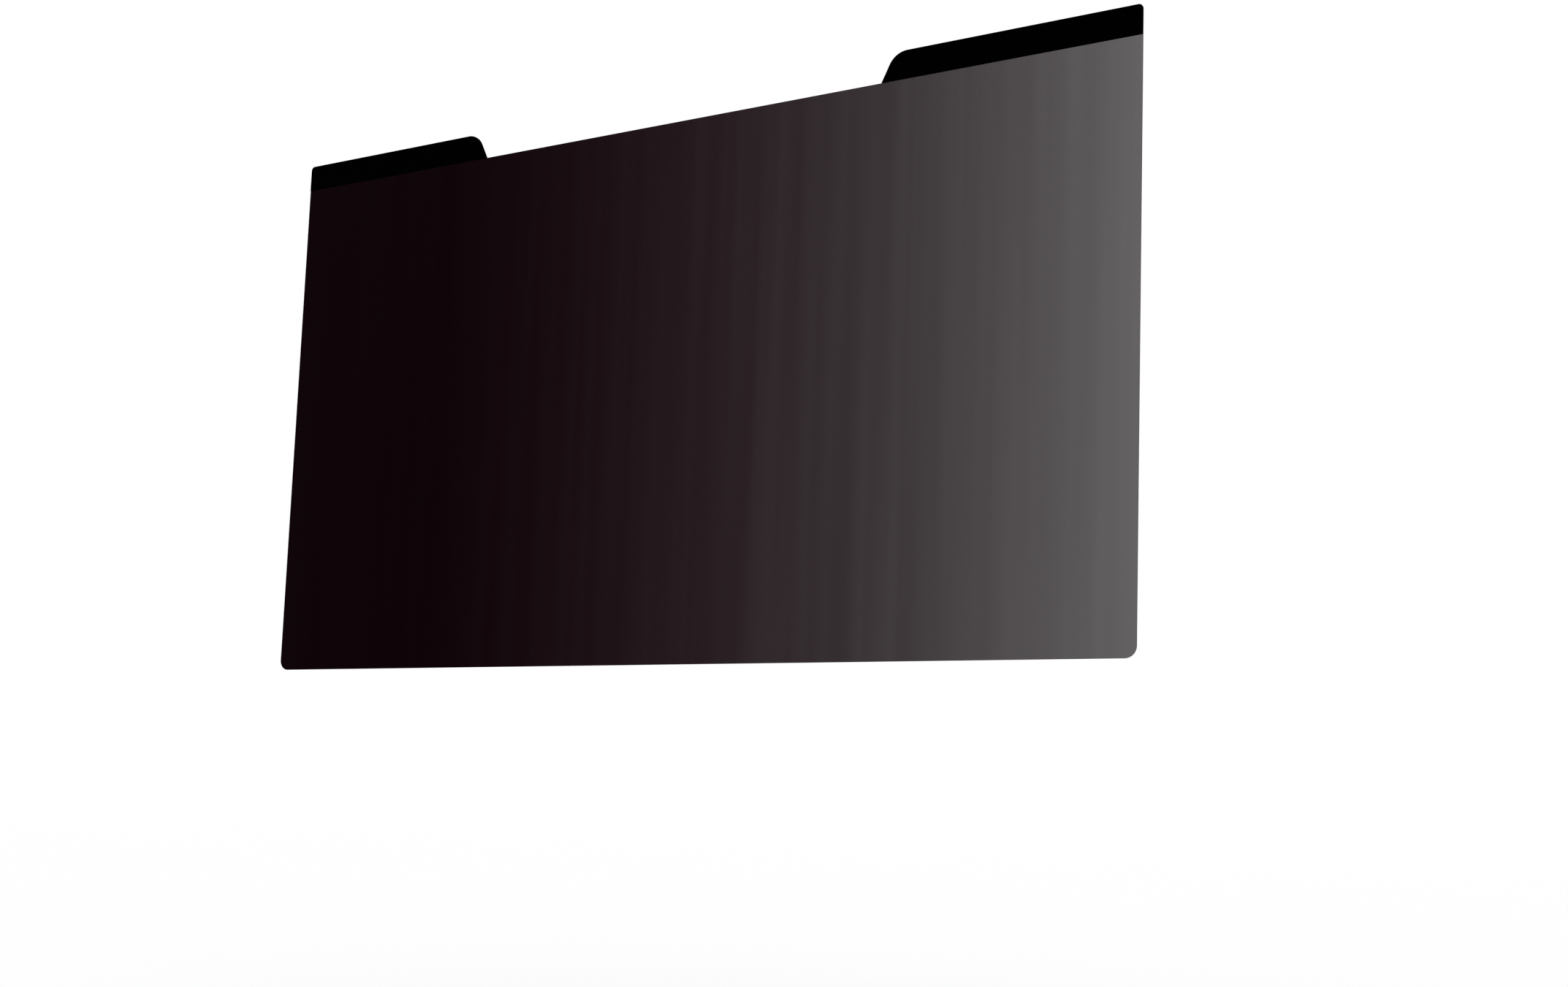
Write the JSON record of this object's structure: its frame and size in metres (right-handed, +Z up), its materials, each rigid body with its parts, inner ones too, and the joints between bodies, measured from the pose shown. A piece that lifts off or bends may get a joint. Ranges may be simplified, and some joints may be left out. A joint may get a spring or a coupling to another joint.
{
  "type": "monitor privacy filter",
  "caption": "Wide dark louvred film with opaque magnetic tabs above its top corners, hung over a monitor's screen to narrow the viewing angle.",
  "frame": {"origin": "midway between the tabs, at the height of the film's straight top edge, in the plane of the magnet strips' back faces, where the filter meets the monitor's bezel", "axes": "+X along the film's width, towards the right tab as the user sees it; +Z up along its height; -Y out of its front face"},
  "size_m": [0.5976, 0.0016, 0.3534],
  "materials": {
    "louvred_film": "satin",
    "tab_black": "matt",
    "magnet_rubber": "matt"
  },
  "bodies": {
    "root": {"privacy_film": "louvred_film", "left_tab_cover": "tab_black", "right_tab_cover": "tab_black", "left_magnet_strip": "magnet_rubber", "right_magnet_strip": "magnet_rubber"}
  },
  "joints": []
}
